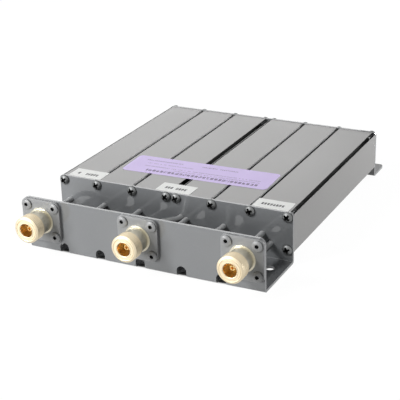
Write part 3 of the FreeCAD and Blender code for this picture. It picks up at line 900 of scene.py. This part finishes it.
rivetSizes = {  # head, eye, shank and tail by their radius
    "headMm": 3.2,
    "heightMm": 1.5,
    "rimMm": 0.95,
    "eyeMm": 1.1,
    "eyeDepthMm": 1.2,
    "eyeEaseMm": 0.25,
    "eyeEdgeMm": 0.1,
    "eyeEdgeRiseMm": 0.03,
    "eyeWallMm": 0.2,
    "stubTip": 0.5,
    "stubEaseMm": 0.25,
    "stubRiseMm": 0.3,
    "shankMm": 1.6,
    "tailMm": 2.3,
    "tailTip": 0.8,
    "tailRoundMm": 0.3,
    "tailSideMm": 1.0,
    "tailLengthMm": 2.2,
    "sharp": 50.0,
    "around": 40,
}


def makeRivets(port):
    size = metres(rivetSizes)
    node = port + "_connector_rivets"
    low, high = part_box(node)
    seat, gripEnd = low.y + size["height"], high.y - size["tailLength"]
    eye, shank, tail, reach = size["eye"], size["shank"], size["tail"], size["head"]
    crown = domeRings(reach, size["rim"], size["height"], seat, -1)
    crown = [point for point in crown if point.x > eye + size["eyeEase"]]
    edge = crown[-1].y
    wall, floor = edge + size["eyeWall"], low.y + size["eyeDepth"]
    crown += [Vector((eye + size["eyeEdge"], edge - size["eyeEdgeRise"])), Vector((eye, wall))]
    foot = [Vector((0.0, high.y)), Vector((tail * size["tailTip"], high.y - size["tailRound"]))]
    foot += [Vector((tail, gripEnd + size["tailSide"])), Vector((tail, gripEnd))]
    foot += [Vector((shank, gripEnd)), Vector((shank, seat))]
    stub = [Vector((eye, wall)), Vector((eye, floor))]
    stub += [Vector((eye * size["stubTip"], floor - size["stubEase"]))]
    stub += [Vector((0.0, floor - size["stubRise"]))]
    parts = []
    for x in (low.x + reach, high.x - reach):
        for z in (low.z + reach, high.z - reach):
            head = outwardFaces(turnedMesh("head", foot + crown, (x, z), size["around"]))
            parts.append(placeMesh("head", head, paints["flangePaint"], size["sharp"]))
            # painted shade: the eye's wall and the stem at its bottom are near black
            stem = turnedMesh("stub", stub, (x, z), size["around"])
            parts.append(placeMesh("stub", stem, metals["blackRecessPaintedShade"]))
    piece = joinPieces(parts)
    piece.name = port + "Rivets"
    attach(piece, "chassis")
    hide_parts(node)


for port in ports:
    makeRivets(port)
print("rivets ready")


# Tuning screws: threaded brass rods with a driver slot

tuningSizes = {
    "radiusMm": 2.45,
    "chamferMm": 0.3,
    "pitchMm": 0.75,
    "depthMm": 0.28,
    "slotMm": 0.9,
    "slotDepthMm": 1.4,
    "sharp": 50.0,
    "stepsPerTurn": 6,
    "around": 40,
}


def makeTuningScrew(number):
    size = metres(tuningSizes)
    node = "tuning_screw_%d" % number
    low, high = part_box(node)
    centre = ((low.x + high.x) / 2, (low.z + high.z) / 2)
    radius, chamfer, pitch = size["radius"], size["chamfer"], size["pitch"]
    start, end = low.y + chamfer, high.y - chamfer
    thread = {"from": start, "to": end, "pitch": pitch, "depth": size["depth"]}
    profile = [Vector((0.0, low.y)), Vector((radius - chamfer, low.y))]
    profile += threadRings(radius, start, end, pitch, size["stepsPerTurn"])
    profile += [Vector((radius - chamfer, high.y)), Vector((0.0, high.y))]
    mesh = turnedMesh(node, profile, centre, size["around"], thread)
    screw = placeMesh("tuningScrew%d" % number, mesh, metals["tuningBrass"], size["sharp"])
    bpy.ops.mesh.primitive_cube_add(size=1.0)
    blade = bpy.context.object
    blade.scale = (2 * (radius + mm), 2 * size["slotDepth"], size["slot"])
    blade.location = (centre[0], high.y, centre[1])
    cutBy(screw, blade)
    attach(screw, node)
    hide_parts(node)


for number in cavities:
    makeTuningScrew(number)
print("tuning screws ready")


# Floor, light and surroundings

studio = {
    "floorSide": 6.0,
    "floorDropMm": 0.4,
    "ambient": 0.12,
    "shadow": 0.06,
    "glow": 1.035,
    "paper": 0.94,
    "paperSpread": 0.01,
    "paperGrain": 30.0,
    "paperRoughness": 0.9,
    "bounce": 0.5,
    "covered": 0.15,
    "coverSideMm": 17.0,
    "coverSideFadeMm": 4.0,
    "coverFrontMm": 1.5,
    "coverFrontFadeMm": 2.0,
    "coverBackMm": 20.0,
    "coverBackFadeMm": 10.0,
}
softboxes = [
    {"name": "upperLeft", "place": (-0.6, -0.8, 0.8), "side": 0.28, "power": 8.8},
    {"name": "lowFront", "place": (-0.33, -0.64, 0.07), "side": 0.3, "power": 3.6},
    {"name": "rightBack", "place": (0.38, 0.93, 0.08), "side": 0.26, "power": 18.5},
    {"name": "behind", "place": (-0.73, 1.1, 0.42), "side": 0.9, "power": 3.45},
]


def seenDirectly(tree):  # 1 for the camera and for whatever mirrors or glass show it
    path = addNode(tree, "LightPath").outputs
    both = maths(tree, "MAXIMUM", path["Is Camera Ray"], path["Is Glossy Ray"])
    return maths(tree, "MAXIMUM", both, path["Is Transmission Ray"])


def underneath(tree):  # 1 below the arches and the blocks, where no light reaches the paper
    size = metres(studio)
    low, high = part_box("front_bracket")
    place = axes(tree, objectPlace(tree))
    side, front = high.x - size["coverSide"], low.y + size["coverFront"]
    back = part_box("rear_bracket")[1].y - size["coverBack"]
    across = spread(tree, maths(tree, "ABSOLUTE", place["X"]), side, side + size["coverSideFade"], 1.0, 0.0)
    start = spread(tree, place["Y"], front, front + size["coverFrontFade"])
    end = spread(tree, place["Y"], back, back + size["coverBackFade"], 1.0, 0.0)
    return maths(tree, "MULTIPLY", across, maths(tree, "MULTIPLY", start, end))


def makeFloor():
    size = metres(studio)
    bpy.ops.mesh.primitive_plane_add(size=size["floorSide"], location=(0, 0, -size["floorDrop"]))
    floor = bpy.context.object
    floor.name = "paleFloor"
    material, tree, shader = newMaterial("palePaper")
    seen, under = seenDirectly(tree), underneath(tree)
    grain = addNode(tree, "TexNoise", {"Vector": objectPlace(tree), "Scale": size["paperGrain"]})
    dark, light = (grey(size["paper"] + side * size["paperSpread"]) for side in (-1, 1))
    paper = mixColours(tree, grain.outputs["Fac"], dark, light)
    # painted shadow: the paper under the object is dark grey, and has no glow there
    paper = mixColours(tree, under, paper, grey(size["covered"]))
    paper = mixColours(tree, seen, grey(size["bounce"]), paper)
    feed(tree, shader, BaseColor=paper, Roughness=size["paperRoughness"], SpecularIORLevel=0.0)
    glow = addNode(tree, "Emission", {"Color": grey(1.0), "Strength": size["glow"]})
    lit = maths(tree, "MULTIPLY", seen, spread(tree, under, 0.0, 1.0, 1 - size["shadow"], 0.0))
    mix = addNode(tree, "MixShader", {0: lit, 1: shader.outputs[0], 2: glow.outputs[0]})
    tree.links.new(mix.outputs[0], tree.nodes["Material Output"].inputs["Surface"])
    floor.data.materials.append(material)


def makeWorld():
    world = bpy.data.worlds.new("paleStudio")
    scene.world = world
    world.use_nodes = True
    tree = world.node_tree
    tree.nodes.clear()
    around = addNode(tree, "Background", {"Color": grey(1.0), "Strength": studio["ambient"]})
    seen = addNode(tree, "Background", {"Color": grey(1.0), "Strength": 1.0})
    mix = addNode(tree, "MixShader", {0: seenDirectly(tree), 1: around.outputs[0], 2: seen.outputs[0]})
    output = addNode(tree, "OutputWorld")
    tree.links.new(mix.outputs[0], output.inputs["Surface"])


def makeSoftbox(box):
    light = bpy.data.lights.new(box["name"], "AREA")
    light.size = box["side"]
    light.energy = box["power"]
    lamp = bpy.data.objects.new(box["name"], light)
    lamp.location = box["place"]
    lamp.rotation_euler = (-Vector(box["place"])).to_track_quat("-Z", "Y").to_euler()
    scene.collection.objects.link(lamp)


makeFloor()
makeWorld()
for box in softboxes:
    makeSoftbox(box)
scene.view_settings.view_transform = "Standard"
print("studio ready")
